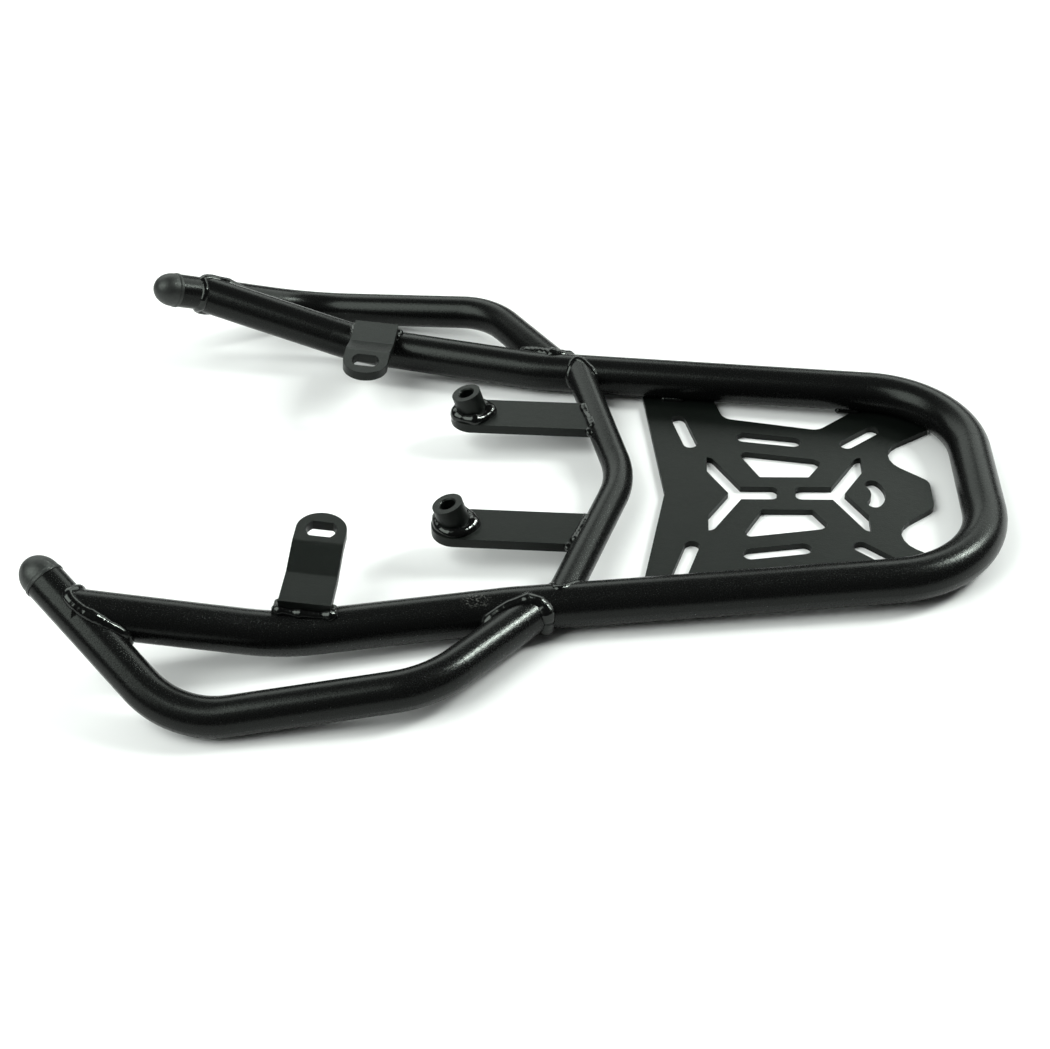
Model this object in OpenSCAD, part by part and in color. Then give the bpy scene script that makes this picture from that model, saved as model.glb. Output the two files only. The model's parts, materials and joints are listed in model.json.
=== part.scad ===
// Motorcycle luggage rack of welded steel tube, lying as it rests on a floor.
// The closed end of the loop points along +X and the rubber tips point along -X.
// The origin is on the floor, at the middle of the rack's length and width.
// The rack is the same on both sides of the plane Y = 0, so a part on the left (-Y) is
// the mirror of the one on the right.

/* [Tubes] */
// Outside diameter of the main loop tube
main_d = 25; // [20:0.5:28]
// Outside diameter of the two side grab bars
bar_d = 22; // [16:0.5:24]
// Outside diameter of the cross tube
cross_d = 18; // [14:0.5:20]
// Wall thickness of all three tubes
tube_wall = 2; // [1.5:0.1:3]

/* [Main loop] */
// Distance from the bolt bosses to the centre of the tail tube
tail_x = 303; // [295:1:312]
// Half width of the loop at its tail corners
tail_half_w = 84.5; // [80:0.5:90]
// Bend radius of the tail corners
tail_bend_r = 63; // [55:1:68]
// Position of the slight bend behind the cross tube
mid_x = 36; // [30:1:42]
// Half width of the loop at that bend
mid_half_w = 117; // [112:0.5:120]
// Bend radius there
mid_bend_r = 110; // [90:5:130]
// Position of the bend where the legs rise
knee_x = -86; // [-92:1:-80]
// Half width of the loop at the rise
knee_half_w = 144; // [140:0.5:148]
// Bend radius of the rise
knee_bend_r = 140; // [100:5:160]
// Height of the tube's underside above the floor at the tail
tail_lift = 2.7; // [2:0.1:3.5]
// Height of its underside at the slight bend
mid_lift = 1; // [0.5:0.1:3]
// Height of its underside at the corner where the legs rise
knee_lift = 4.5; // [3:0.5:7]

/* [Side bars] */
// Where the bar's rubber tip starts, along the rack
tip_x = -206; // [-212:1:-200]
// Half width of the rack there
tip_half_w = 148; // [144:1:152]
// Height of the bar there
tip_z = 57.5; // [50:0.5:62]
// Corner of the front bend, along the rack
front_x = -131.5; // [-136:0.5:-126]
// Half width at the front bend
front_half_w = 203.5; // [198:0.5:208]
// Fall of the front bend's corner below a bar that lies on the floor
front_drop = 1.6; // [0:0.1:1.8]
// Bend radius of the front bend
front_bend_r = 55; // [45:1:60]
// Corner of the rear bend, along the rack
rear_x = -0.5; // [-6:0.5:6]
// Half width at the rear bend
rear_half_w = 182; // [178:0.5:186]
// Height of the bar's underside at the rear bend corner
rear_lift = 7; // [4:0.5:11]
// Bend radius of the rear bend
rear_bend_r = 51; // [40:1:55]
// Where the bar meets the main loop
bar_end_x = 53; // [48:1:58]
// Distance along the bar from its rubber tip to the main loop's leg
leg_off = 22.3; // [20:0.1:26]

/* [Rubber tips] */
// Length of the tip outside the tube
plug_len = 16; // [12:0.5:20]
// Length of the stem pushed into the tube
plug_stem = 15; // [10:1:25]
// Amount by which the tip's lip stands out beyond the tube
plug_lip = 0.4; // [0:0.1:1]
// Length of the tip before its dome
plug_band = 3; // [2:0.5:5]
// Clearance between the stem and the tube wall
plug_clear = 0.15; // [0.1:0.05:0.3]
// Chamfer at the stem's end
stem_chamfer = 1; // [0.5:0.1:2]

/* [Cross tube] */
// Where the cross tube meets the main loop
cross_x = 63; // [58:1:68]
// Position of the bend in its middle
cross_mid_x = 94.5; // [88:0.5:100]
// Amount by which its ends sit above the loop's centre
cross_rise = 3.8; // [0:0.2:4]
// Rise of its middle above the loop's centre at the slight bend
cross_mid_rise = 0.8; // [-1:0.1:3]
// Bend radius in its middle
cross_bend_r = 68; // [50:1:80]

/* [Tabs and bosses] */
// Half distance between the two bolt bosses
boss_half_w = 55.5; // [52:0.5:59]
// Width of each tab
tab_w = 28; // [26:0.5:30]
// Thickness of each tab
tab_t = 6; // [5:0.5:8]
// Height of the tab's middle above the cross tube's centre
tab_rise = 1.5; // [0:0.1:3]
// Fall of the tab toward the cross tube, degrees
tab_fall = 2.5; // [0:0.5:3]
// Outside diameter of a boss
boss_d = 18; // [16:0.5:20]
// Bore through the boss and the tab, for an M8 bolt
boss_bore = 9; // [8.4:0.1:10]
// Height of a boss above its tab
boss_h = 15; // [12:0.5:18]
// Lean of the boss toward the rubber tips, degrees
boss_lean = 14; // [0:1:16]
// Chamfer at the boss's mouth
boss_chamfer = 0.8; // [0.4:0.1:1.5]

/* [Brackets] */
// Position of the bracket's centre along the rack
bracket_x = -71.5; // [-75:0.5:-68]
// Width of the strip
bracket_w = 28.5; // [26:0.5:30]
// Thickness of the strip
bracket_t = 6; // [5:0.5:6]
// Distance of the strip's outer edge inside the loop's centre line
bracket_inset = 0.8; // [0:0.1:3]
// Height of the strip's underside above the top of the tube at the rise
bracket_seat = 1.5; // [1.2:0.1:2]
// Rise of the strip's inner flat above the outer one
bracket_rise = 6.3; // [4:0.1:9]
// Distance from the hole's centre to the ramp
bracket_land = 12; // [11:0.5:14]
// Length of the ramp between the two flats
bracket_ramp = 19; // [16:0.5:24]
// Half distance between the two bracket holes
bracket_hole_half_w = 85; // [83:0.5:88]
// Pitch of the bracket, which follows the rising tube, degrees
bracket_pitch = 7.5; // [5:0.5:9]
// Length of the hole, which has two flat sides
bracket_hole_l = 17; // [14:0.5:18]
// Width of the hole across its flat sides
bracket_hole_w = 12.5; // [10:0.5:13]

/* [Plate] */
// Thickness of the rack plate
plate_t = 4; // [3:0.5:5]
// Point of the shallow V at the plate's front edge
plate_front_x = 120; // [116:0.5:124]
// Depth of that V
plate_v = 14.6; // [0:0.2:18]
// End of the plate's tongue toward the tail tube
plate_tail_x = 278.5; // [272:0.5:282]
// Half width of the tongue at its end
tongue_half_w = 12.4; // [10:0.2:15]
// Radius of the tongue's corners
tongue_r = 8; // [5:0.5:9]
// Position of the tongue's root
tongue_root_x = 246; // [243:0.5:249]
// Half width of the plate there
tongue_root_half_w = 39; // [36:0.5:42]
// Radius of the edge at the root
tongue_root_r = 16; // [10:1:18]
// Front end of the notch in the plate's side, on the tube
notch_front_x = 151; // [148:0.5:154]
// Rear end of the notch
notch_rear_x = 241; // [238:0.5:243]
// Length of the notch's front end
notch_front_l = 6; // [4:0.5:9]
// Length of the notch's rear end
notch_rear_l = 25; // [22:0.5:28]
// Half width of the plate at the front of the notch
notch_front_half_w = 77; // [75:0.5:80]
// Half width of the plate at the rear of the notch
notch_rear_half_w = 64.5; // [63:0.5:67]
// Radius of the notch's corners
notch_r = 9; // [5:0.5:11]
// Width of the slots in the plate
slot_w = 9.5; // [8:0.1:10]
// Width of the slots that lie at an angle
angled_slot_w = 8.8; // [7:0.1:10]
// Middle of the front angled slot, along the rack
front_slot_x = 132.2; // [131:0.2:134]
// Middle of the front angled slot, from the centre line
front_slot_y = 62.75; // [60:0.25:66]
// Length between the centres of its round ends
front_slot_l = 26.5; // [20:0.5:30]
// Turn of the front angled slot, degrees
front_slot_turn = 105.8; // [100:0.2:112]
// Middle of the long slot, along the rack
long_slot_x = 184.5; // [180:0.5:189]
// Middle of the long slot, from the centre line
long_slot_y = 54.2; // [53:0.2:55]
// Length between the centres of its round ends
long_slot_l = 30.4; // [20:0.4:36]
// Turn of the long slot, degrees
long_slot_turn = -9.5; // [-12:0.5:-8]
// Middle of the rear angled slot, along the rack
rear_slot_x = 240.75; // [239:0.25:242]
// Middle of the rear angled slot, from the centre line
rear_slot_y = 56.5; // [55:0.25:58]
// Length between the centres of its round ends
rear_slot_l = 21.6; // [15:0.4:23]
// Turn of the rear angled slot, degrees
rear_slot_turn = 40.3; // [36:0.1:44]
// Front end of the window
window_x = 166.5; // [165:0.5:168]
// Length of the window
window_l = 49; // [42:0.5:51]
// Inner edge of the window, from the centre line
window_y = 15.8; // [14.5:0.1:17]
// Width of the window
window_w = 25.5; // [20:0.5:27]
// Radius of the window's outer corners
window_r = 2.5; // [1:0.1:3]
// Middle of the front Y slot
y_front_x = 163.5; // [162:0.5:165]
// Middle of the rear Y slot
y_rear_x = 221.8; // [220.2:0.2:223]
// Length of a Y slot's stem
y_stem = 24; // [20:0.5:26]
// Reach of a Y slot's arms against its stem
y_arm_reach = 17.8; // [14:0.2:19]
// Centre of the bent slot's curve
kidney_x = 232; // [230:0.5:233]
// Radius of its curve
kidney_r = 15; // [13:0.5:17]
// Width of the bent slot
kidney_w = 8.4; // [6:0.2:9]
// Half of the angle that it covers, degrees
kidney_half_turn = 36; // [20:1:40]

/* [Welds] */
// Reach of a weld bead over each of the parts it joins
weld_w = 3; // [2:0.1:4]
// Start of the front weld on the plate's edge
plate_weld_front_x = 117; // [112:0.5:128]
// Start of the rear weld on the plate's edge
plate_weld_rear_x = 228; // [222:0.5:232]
// Length of the welds on the plate's edge
plate_weld_l = 16; // [10:0.5:20]

/* [Hidden] */
$fn = 64;

coat = [0.09, 0.09, 0.09];
flat_coat = [0.17, 0.18, 0.17];
rubber = [0.12, 0.12, 0.12];
bead = [0.05, 0.05, 0.05];

main_r = main_d / 2;
bar_r = bar_d / 2;
cross_r = cross_d / 2;
// A cutter is this much longer than what it cuts
over = 1;
// Overlap of a straight with a bend, and the step between their surfaces
lap = 0.04;
// Height of a cut that passes through everything
high = 6 * main_d;

tail_z = main_r + tail_lift;
mid_z = main_r + mid_lift;
knee_z = main_r + knee_lift;
front_z = bar_r - front_drop;
rear_z = bar_r + rear_lift;
cross_mid_z = mid_z + cross_mid_rise;

// Vector helpers
function unit(v) = v / norm(v);
function lerp(a, b, t) = a + (b - a) * t;
function flip(p) = [p[0], -p[1], p[2]];
// Point on the line from a to b whose x is given
function at_x(a, b, x) = lerp(a, b, (x - a[0]) / (b[0] - a[0]));

// Corner points of the tubes on the right-hand side
tail_pt = [tail_x, tail_half_w, tail_z];
mid_pt = [mid_x, mid_half_w, mid_z];
knee_pt = [knee_x, knee_half_w, knee_z];
tip_pt = [tip_x, tip_half_w, tip_z];
front_pt = [front_x, front_half_w, front_z];
rear_pt = [rear_x, rear_half_w, rear_z];
leg_end = tip_pt + unit(front_pt - tip_pt) * leg_off;
bar_end = at_x(mid_pt, tail_pt, bar_end_x);
cross_end = at_x(mid_pt, tail_pt, cross_x) + [0, 0, cross_rise];
cross_mid = [cross_mid_x, 0, cross_mid_z];
// Point of the cross tube's centre line beside the boss, and the tab's upper face at the boss
tab_end = lerp(cross_mid, cross_end, boss_half_w / cross_end[1]);
tab_z = tab_end[2] + tab_rise + tab_t / 2 / cos(tab_fall) + tab_end[0] * tan(tab_fall);
// The strip lies on the loop at the rise, and its outer flat is what the ramp leaves
bracket_half_w = at_x(knee_pt, mid_pt, bracket_x)[1] - bracket_inset;
bracket_z = knee_z + main_r + bracket_t + bracket_seat;
bracket_run = bracket_half_w - bracket_hole_half_w;

loop_path = [leg_end, knee_pt, mid_pt, tail_pt, flip(tail_pt), flip(mid_pt), flip(knee_pt), flip(leg_end)];
loop_bends = [0, knee_bend_r, mid_bend_r, tail_bend_r, tail_bend_r, mid_bend_r, knee_bend_r, 0];
bar_path = [tip_pt, front_pt, rear_pt, bar_end];
bar_bends = [0, front_bend_r, rear_bend_r, 0];
cross_path = [cross_end, cross_mid, flip(cross_end)];
cross_bends = [0, cross_bend_r, 0];

// Bend geometry at point i of a path
function into(p, i) = unit(p[i - 1] - p[i]);
function away(p, i) = unit(p[i + 1] - p[i]);
function turn(p, i) = 180 - acos(into(p, i) * away(p, i));
function trim(p, r, i) = (i <= 0 || i >= len(p) - 1) ? 0 : r[i] * tan(turn(p, i) / 2);
function bend_centre(p, r, i) = p[i] + unit(into(p, i) + away(p, i)) * r[i] / cos(turn(p, i) / 2);

// Frame whose Z axis runs along d
function side_of(d) = abs(d[2]) > 0.9 ? unit(cross([0, 1, 0], d)) : unit(cross([0, 0, 1], d));
module along(o, d) {
    frame_at(o, side_of(unit(d)), unit(d))
        children();
}

// Straight round bar from a to b, longer by ext at both ends
module rod(a, b, r, ext = 0) {
    along(a - unit(b - a) * ext, b - a)
        cylinder(h = norm(b - a) + 2 * ext, r = r);
}

// Vector v turned by angle a about the unit vector z
function swing(v, z, a) = v * cos(a) + cross(z, v) * sin(a) + z * (z * v) * (1 - cos(a));
function bend_axis(p, i) = unit(cross(into(p, i), away(p, i)) * -1);
// Direction across straight i of a path, carried through the bends without a twist
function seam(p, i) =
    i == 0 ? side_of(unit(p[1] - p[0])) : swing(seam(p, i - 1), bend_axis(p, i), turn(p, i));
// Angle of that direction in the section of the bend at point i
function seam_angle(p, r, i) = atan2(seam(p, i - 1) * bend_axis(p, i), seam(p, i - 1) * bend_out(p, r, i));
function bend_out(p, r, i) = unit(p[i] + into(p, i) * trim(p, r, i) - bend_centre(p, r, i));

module frame_at(o, x, z) {
    y = cross(z, x);
    multmatrix([[x[0], y[0], z[0], o[0]], [x[1], y[1], z[1], o[1]], [x[2], y[2], z[2], o[2]], [0, 0, 0, 1]])
        children();
}

// Bend at point i of a path, with its section drawn by the child
module bend(p, r, i) {
    frame_at(bend_centre(p, r, i), bend_out(p, r, i), bend_axis(p, i))
        rotate_extrude(angle = turn(p, i))
            translate([r[i], 0])
                rotate([0, 0, seam_angle(p, r, i)])
                    children();
}

// Hollow tube along a path, drawn piece by piece. Each straight runs a little way into the
// bends, which are a hair thicker, so that no two surfaces lie on each other.
module tube(p, r, rad) {
    last = len(p) - 2;
    for (i = [0 : last]) {
        d = unit(p[i + 1] - p[i]);
        s = p[i] + d * (trim(p, r, i) - (i > 0 ? lap : 0));
        e = p[i + 1] - d * (trim(p, r, i + 1) - (i < last ? lap : 0));
        frame_at(s, seam(p, i), d)
            difference() {
                cylinder(h = norm(e - s), r = rad);
                translate([0, 0, -over])
                    cylinder(h = norm(e - s) + 2 * over, r = rad - tube_wall);
            }
        if (i > 0)
            bend(p, r, i)
                difference() {
                    circle(r = rad + lap);
                    circle(r = rad - tube_wall - lap);
                }
    }
}

// Straights of the main loop's right-hand leg, as solid bars for the cuts at its joints
module rear_leg(r) rod(mid_pt, tail_pt, r, weld_w);
module front_leg(r) rod(knee_pt, mid_pt, r, weld_w);
// First straight of the side bar, past the joint with the leg
module bar_front(r) rod(tip_pt, front_pt, r, main_d);

// Every length along the rack above is counted from the bolt bosses. The reach of the
// rubber tips beyond tip_x is that of an ellipsoid that leans with the bar.
tip_dir = unit(tip_pt - front_pt);
tip_slope = norm([tip_dir[1], tip_dir[2]]);
tip_reach = -plug_band * tip_dir[0] + norm([(plug_len - plug_band) * tip_dir[0], bar_r * tip_slope]);
centre_x = (tail_x + main_r + tip_x - tip_reach) / 2;

// Moves the middle of the rack's length to the origin
module placed() {
    translate([-centre_x, 0, 0])
        children();
}

// Draws the right-hand part, or its mirror on the left
module on_side(s) {
    if (s > 0) children();
    else mirror([0, 1, 0]) children();
}

module main_tube() {
    color(coat) placed()
        difference() {
            tube(loop_path, loop_bends, main_r);
            for (s = [-1, 1]) on_side(s) bar_front(bar_r);
        }
}

module outer_bar(s) {
    color(coat) placed()
        on_side(s)
            difference() {
                tube(bar_path, bar_bends, bar_r);
                rear_leg(main_r);
                front_leg(main_r);
            }
}

// Rubber tip with a domed end and a stem inside the bar
module end_plug(s) {
    lip_r = bar_r + plug_lip;
    stem_r = bar_r - tube_wall - plug_clear;
    dome = [for (a = [0 : 7.5 : 90]) [bar_r * cos(a), plug_band + (plug_len - plug_band) * sin(a)]];
    color(rubber) placed()
        on_side(s)
            along(tip_pt, tip_pt - front_pt)
                rotate_extrude()
                    polygon(concat(
                        [[0, -plug_stem], [stem_r - stem_chamfer, -plug_stem],
                         [stem_r, -plug_stem + stem_chamfer], [stem_r, 0], [lip_r, 0],
                         [lip_r, plug_band * 0.53], [bar_r, plug_band * 0.8]],
                        [for (p = dome) if (p[0] > 0.01) p],
                        [[0, plug_len]]));
}

module cross_tube() {
    color(coat) placed()
        difference() {
            tube(cross_path, cross_bends, cross_r);
            for (s = [-1, 1]) on_side(s) rear_leg(main_r);
        }
}

// Frame of a tab: its origin is on the upper face under the boss, X runs to the cross tube
module tab_frame() {
    translate([0, boss_half_w, tab_z])
        rotate([0, tab_fall, 0])
            children();
}

// Frame of a boss: Z runs along the bolt
module boss_frame() {
    translate([0, boss_half_w, tab_z])
        rotate([0, -boss_lean, 0])
            children();
}

module tab_blank(grow = 0) {
    tab_frame()
        translate([0, 0, -tab_t - grow]) {
            cylinder(h = tab_t + 2 * grow, d = tab_w + 2 * grow);
            translate([0, -tab_w / 2 - grow, 0])
                cube([cross_mid_x, tab_w + 2 * grow, tab_t + 2 * grow]);
        }
}

module tab(s) {
    // Vertical cut along the cross tube's centre line, so that nothing is left behind it
    far = 2 * cross_mid - cross_end;
    color(flat_coat) placed()
        on_side(s)
            difference() {
                tab_blank();
                rod(cross_end, cross_mid, cross_r, over);
                translate([0, 0, -high / 3])
                    linear_extrude(high)
                        polygon([[cross_end[0], cross_end[1]], [cross_mid[0], cross_mid[1]],
                                 [far[0] + cross_x, far[1]], [cross_mid[0] + cross_x, cross_end[1]]]);
                boss_frame() cylinder(h = high, d = boss_bore, center = true);
            }
}

module boss_blank(grow = 0) {
    boss_frame()
        translate([0, 0, -tab_t])
            cylinder(h = boss_h + tab_t, r = boss_d / 2 + grow);
}

module boss(s) {
    color(flat_coat) placed()
        on_side(s)
            difference() {
                boss_blank();
                tab_blank();
                boss_frame() {
                    cylinder(h = high, d = boss_bore, center = true);
                    translate([0, 0, boss_h - boss_chamfer])
                        cylinder(h = boss_chamfer + 0.01, d1 = boss_bore, d2 = boss_bore + 2 * boss_chamfer);
                    translate([0, 0, -tab_t - over])
                        cylinder(h = tab_t - 1, d = 2 * boss_d);
                }
            }
}

// Frame of a bracket: X along the rack, Y outward from the hole, Z up from the outer flat
module bracket_frame() {
    translate([bracket_x, bracket_hole_half_w, bracket_z])
        rotate([0, bracket_pitch, 0])
            children();
}

// Side view of the strip, as points of its upper face from the outer edge to the hole
function strip_top() = let (
    o = bracket_run,
    b = bracket_land,
    a = b + bracket_ramp,
    r = bracket_t - 1)
    concat([[o, 0]], corner([o, 0], [a, 0], [b, bracket_rise], r),
           corner([a, 0], [b, bracket_rise], [-bracket_w, bracket_rise], r + bracket_t),
           [[-bracket_w, bracket_rise]]);

// Points of the round corner b between a and c
function corner(a, b, c, r, n = 6) = let (
    u = unit(a - b),
    v = unit(c - b),
    half = acos(u * v) / 2,
    m = b + unit(u + v) * r / sin(half),
    s = b + u * r / tan(half) - m,
    sgn = sign(cross(s, b + v * r / tan(half) - m)))
    [for (k = [0 : n]) let (t = sgn * (180 - 2 * half) * k / n)
        m + [s[0] * cos(t) - s[1] * sin(t), s[0] * sin(t) + s[1] * cos(t)]];

module strip(grow = 0) {
    top = strip_top();
    low = [for (p = top) p - [0, bracket_t]];
    // The tip is round, about the hole's centre
    intersection() {
        translate([-bracket_w / 2 - grow, 0, 0])
            rotate([90, 0, 90])
                linear_extrude(bracket_w + 2 * grow)
                    polygon(concat(top, [for (i = [len(low) - 1 : -1 : 0]) low[i]]));
        union() {
            translate([0, 0, -high / 2])
                cylinder(h = high, d = bracket_w);
            translate([-bracket_w, 0, -high / 2])
                cube([2 * bracket_w, 2 * bracket_run, high]);
        }
    }
}

module bracket(s) {
    color(flat_coat) placed()
        on_side(s)
            bracket_frame()
                difference() {
                    strip();
                    intersection() {
                        cylinder(h = high, d = bracket_hole_l, center = true);
                        cube([2 * bracket_w, bracket_hole_w, high], center = true);
                    }
                }
}

// Plate outline on the right-hand side: each entry is a corner and its radius
edge_gap = sqrt(pow(main_r, 2) - pow(tail_z - plate_t, 2));
leg_cos = cos(atan((mid_half_w - tail_half_w) / (tail_x - mid_x)));
function leg_y(x) = at_x(mid_pt, tail_pt, x)[1] - edge_gap / leg_cos;
// The tail corner's bend, seen from above, and the plate's edge along it
bend_c = [bend_centre(loop_path, loop_bends, 3)[0], bend_centre(loop_path, loop_bends, 3)[1]];
function wing(a) = bend_c + (tail_bend_r - edge_gap) * [cos(a), sin(a)];
front_corner = [plate_front_x - plate_v, leg_y(plate_front_x - plate_v)];
notch = [[notch_front_x, leg_y(notch_front_x)], [notch_front_x + notch_front_l, notch_front_half_w],
         [notch_rear_x - notch_rear_l, notch_rear_half_w], [notch_rear_x, leg_y(notch_rear_x)]];
root = [tongue_root_x, tongue_root_half_w];
tongue = [plate_tail_x, tongue_half_w];
half_outline = concat(
    [[plate_front_x, 0], front_corner, notch[0]],
    corner(notch[0], notch[1], notch[2], notch_r),
    corner(notch[1], notch[2], notch[3], notch_r),
    [notch[3]],
    [for (a = [80 : -8 : 40]) wing(a)],
    corner(wing(40), root, tongue, tongue_root_r),
    corner(root, tongue, flip(tongue), tongue_r));

// Slot of width w from point a, with length l between the centres of its ends
module through_slot(a, l, turn, w) {
    translate([a[0], a[1], -over])
        rotate([0, 0, turn]) {
            cylinder(h = plate_t + 2 * over, d = w);
            translate([l, 0, 0])
                cylinder(h = plate_t + 2 * over, d = w);
            translate([0, -w / 2, 0])
                cube([l, w, plate_t + 2 * over]);
        }
}

module centred_slot(x, y, l, turn, w) {
    through_slot([x, y] - [cos(turn), sin(turn)] * l / 2, l, turn, w);
}

// Y-shaped slot with its stem along +X and its two arms at 120 degrees. The stem is a
// little wider than the arms, with rounded corners at its end.
module y_slot() {
    stem_w = slot_w * 1.26;
    end_d = stem_w * 2 / 3;
    for (s = [-1, 1]) {
        intersection() {
            through_slot([0, 0], y_arm_reach * 2, s * 120, slot_w);
            translate([-y_arm_reach, -2 * y_arm_reach, -over])
                cube(4 * y_arm_reach);
        }
        through_slot([0, s * (stem_w - end_d) / 2], y_stem - end_d / 2, 0, end_d);
    }
    translate([0, -stem_w / 2, -over])
        cube([y_stem - end_d / 2, stem_w, plate_t + 2 * over]);
}

// Corners of the window, as shares of its own length and width
module window() {
    shape = [[0, 0.831], [0.224, 0], [0.827, 0], [1, 0.557], [0.918, 0.706], [0.041, 1]];
    share = [1, 0.4, 0.4, 1, 1, 1];
    pts = [for (p = shape) [window_x + window_l * p[0], window_y + window_w * p[1]]];
    n = len(pts);
    translate([0, 0, -over])
        linear_extrude(plate_t + 2 * over)
            polygon([for (i = [0 : n - 1])
                for (q = corner(pts[(i + n - 1) % n], pts[i], pts[(i + 1) % n], window_r * share[i], 4)) q]);
}

module rack_plate() {
    color(flat_coat) placed()
        difference() {
            linear_extrude(plate_t)
                polygon(concat(half_outline,
                    [for (i = [len(half_outline) - 1 : -1 : 1]) [half_outline[i][0], -half_outline[i][1]]]));
            for (s = [-1, 1]) on_side(s) {
                centred_slot(front_slot_x, front_slot_y, front_slot_l, front_slot_turn, angled_slot_w);
                centred_slot(long_slot_x, long_slot_y, long_slot_l, long_slot_turn, slot_w);
                centred_slot(rear_slot_x, rear_slot_y, rear_slot_l, rear_slot_turn, angled_slot_w);
                window();
            }
            translate([y_front_x, 0, 0])
                y_slot();
            translate([y_rear_x, 0, 0])
                rotate([0, 0, 180])
                    y_slot();
            // Kidney-shaped hole: a slot bent about a point ahead of it
            translate([kidney_x, 0, -over]) {
                rotate([0, 0, -kidney_half_turn])
                    rotate_extrude(angle = 2 * kidney_half_turn)
                        translate([kidney_r - kidney_w / 2, 0])
                            square([kidney_w, plate_t + 2 * over]);
                for (s = [-1, 1])
                    rotate([0, 0, s * kidney_half_turn])
                        translate([kidney_r, 0, 0])
                            cylinder(h = plate_t + 2 * over, d = kidney_w);
            }
            for (s = [-1, 1]) on_side(s) {
                rear_leg(main_r);
                bend(loop_path, loop_bends, 3)
                    circle(r = main_r + lap);
            }
        }
}

// Weld of the leg's front end on the side bar
module weld_front(s) {
    color(bead) placed()
        on_side(s)
            difference() {
                intersection() {
                    rod(leg_end, knee_pt, main_r + weld_w);
                    bar_front(bar_r + weld_w);
                }
                rod(leg_end, knee_pt, main_r, 2 * main_d);
                bar_front(bar_r);
            }
}

// Weld of the side bar's rear end on the main loop
module weld_rear(s) {
    color(bead) placed()
        on_side(s)
            difference() {
                intersection() {
                    // The floor is close below this joint, so the bead is lower on the bar
                    rod(bar_end, rear_pt, bar_r + weld_w * 0.75);
                    rod(mid_pt, tail_pt, main_r + weld_w, 2 * main_d);
                }
                rod(bar_end, rear_pt, bar_r, main_d);
                rear_leg(main_r);
                front_leg(main_r);
                bend(loop_path, loop_bends, 2)
                    circle(r = main_r + lap);
            }
}

module weld_cross(s) {
    color(bead) placed()
        on_side(s)
            difference() {
                intersection() {
                    rod(cross_end, cross_mid, cross_r + weld_w);
                    rear_leg(main_r + weld_w);
                }
                rod(cross_end, cross_mid, cross_r, main_d);
                rear_leg(main_r);
            }
}

module weld_tab(s) {
    color(bead) placed()
        on_side(s)
            difference() {
                intersection() {
                    tab_blank(weld_w * 0.6);
                    rod(cross_end, cross_mid, cross_r + weld_w);
                    tab_side();
                }
                tab_blank();
                rod(cross_end, cross_mid, cross_r, over);
            }
}

// Space on the tab's side of the cross tube
module tab_side() {
    translate([0, 0, -high / 3])
        linear_extrude(high)
            polygon([[cross_end[0], cross_end[1]], [cross_mid[0], cross_mid[1]],
                     [0, cross_mid[1]], [0, cross_end[1]]]);
}

module weld_boss(s) {
    color(bead) placed()
        on_side(s)
            difference() {
                intersection() {
                    boss_blank(weld_w);
                    tab_frame() cylinder(h = weld_w, d = 3 * boss_d);
                }
                boss_blank();
            }
}

module weld_bracket(s) {
    color(bead) placed()
        on_side(s)
            difference() {
                intersection() {
                    rod(leg_end, knee_pt, main_r + 2 * weld_w, main_d);
                    bracket_frame()
                        translate([-bracket_w / 2 - weld_w, bracket_run - 4 * weld_w, -bracket_t - weld_w])
                            cube([bracket_w + 2 * weld_w, 5 * weld_w, bracket_t + weld_w * 2 / 3]);
                }
                bracket_frame()
                    translate([-bracket_w / 2, 0, -bracket_t])
                        cube([bracket_w, bracket_run, bracket_t]);
                front_leg(main_r);
                bend(loop_path, loop_bends, 1, $fn = 192)
                    circle(r = main_r + lap);
            }
}

// Point on the loop's surface at the height of the plate's upper face, above the plate's edge
function plate_edge(x) = let (
    q = at_x(mid_pt, tail_pt, x),
    g = sqrt(pow(main_r, 2) - pow(q[2] - plate_t, 2)))
    [x, q[1] - g / leg_cos - weld_w / 5, plate_t];

// Two short welds along the plate's upper edge
module weld_plate(s) {
    color(bead) placed()
        on_side(s)
            difference() {
                union() {
                    for (x = [plate_weld_front_x, plate_weld_rear_x])
                        rod(plate_edge(x), plate_edge(x + plate_weld_l), weld_w * 1.1);
                }
                rear_leg(main_r);
                translate([0, 0, plate_t - 2 * weld_w])
                    cube([2 * tail_x, 2 * mid_half_w, 4 * weld_w], center = true);
            }
}

main_tube();
outer_bar(-1);  // outer_bar_left
outer_bar(1);  // outer_bar_right
end_plug(-1);  // end_plug_left
end_plug(1);  // end_plug_right
cross_tube();
tab(-1);  // tab_left
tab(1);  // tab_right
boss(-1);  // boss_left
boss(1);  // boss_right
bracket(-1);  // bracket_left
bracket(1);  // bracket_right
rack_plate();
weld_front(-1);  // weld_front_left
weld_front(1);  // weld_front_right
weld_rear(-1);  // weld_rear_left
weld_rear(1);  // weld_rear_right
weld_cross(-1);  // weld_cross_left
weld_cross(1);  // weld_cross_right
weld_tab(-1);  // weld_tab_left
weld_tab(1);  // weld_tab_right
weld_boss(-1);  // weld_boss_left
weld_boss(1);  // weld_boss_right
weld_bracket(-1);  // weld_bracket_left
weld_bracket(1);  // weld_bracket_right
weld_plate(-1);  // weld_plate_left
weld_plate(1);  // weld_plate_right
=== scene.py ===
# %% [markdown]
# A welded luggage rack in black powder coat
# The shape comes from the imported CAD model, in metres, with the floor at z = 0.
# This script adds what CAD leaves out: the skin of the paint, the ripples of the weld
# beads, the light and the camera. Each cell builds one thing and prints what it made.

# %% Load the frame
import json
import math
import bpy
from mathutils import Matrix, Vector, noise


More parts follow.
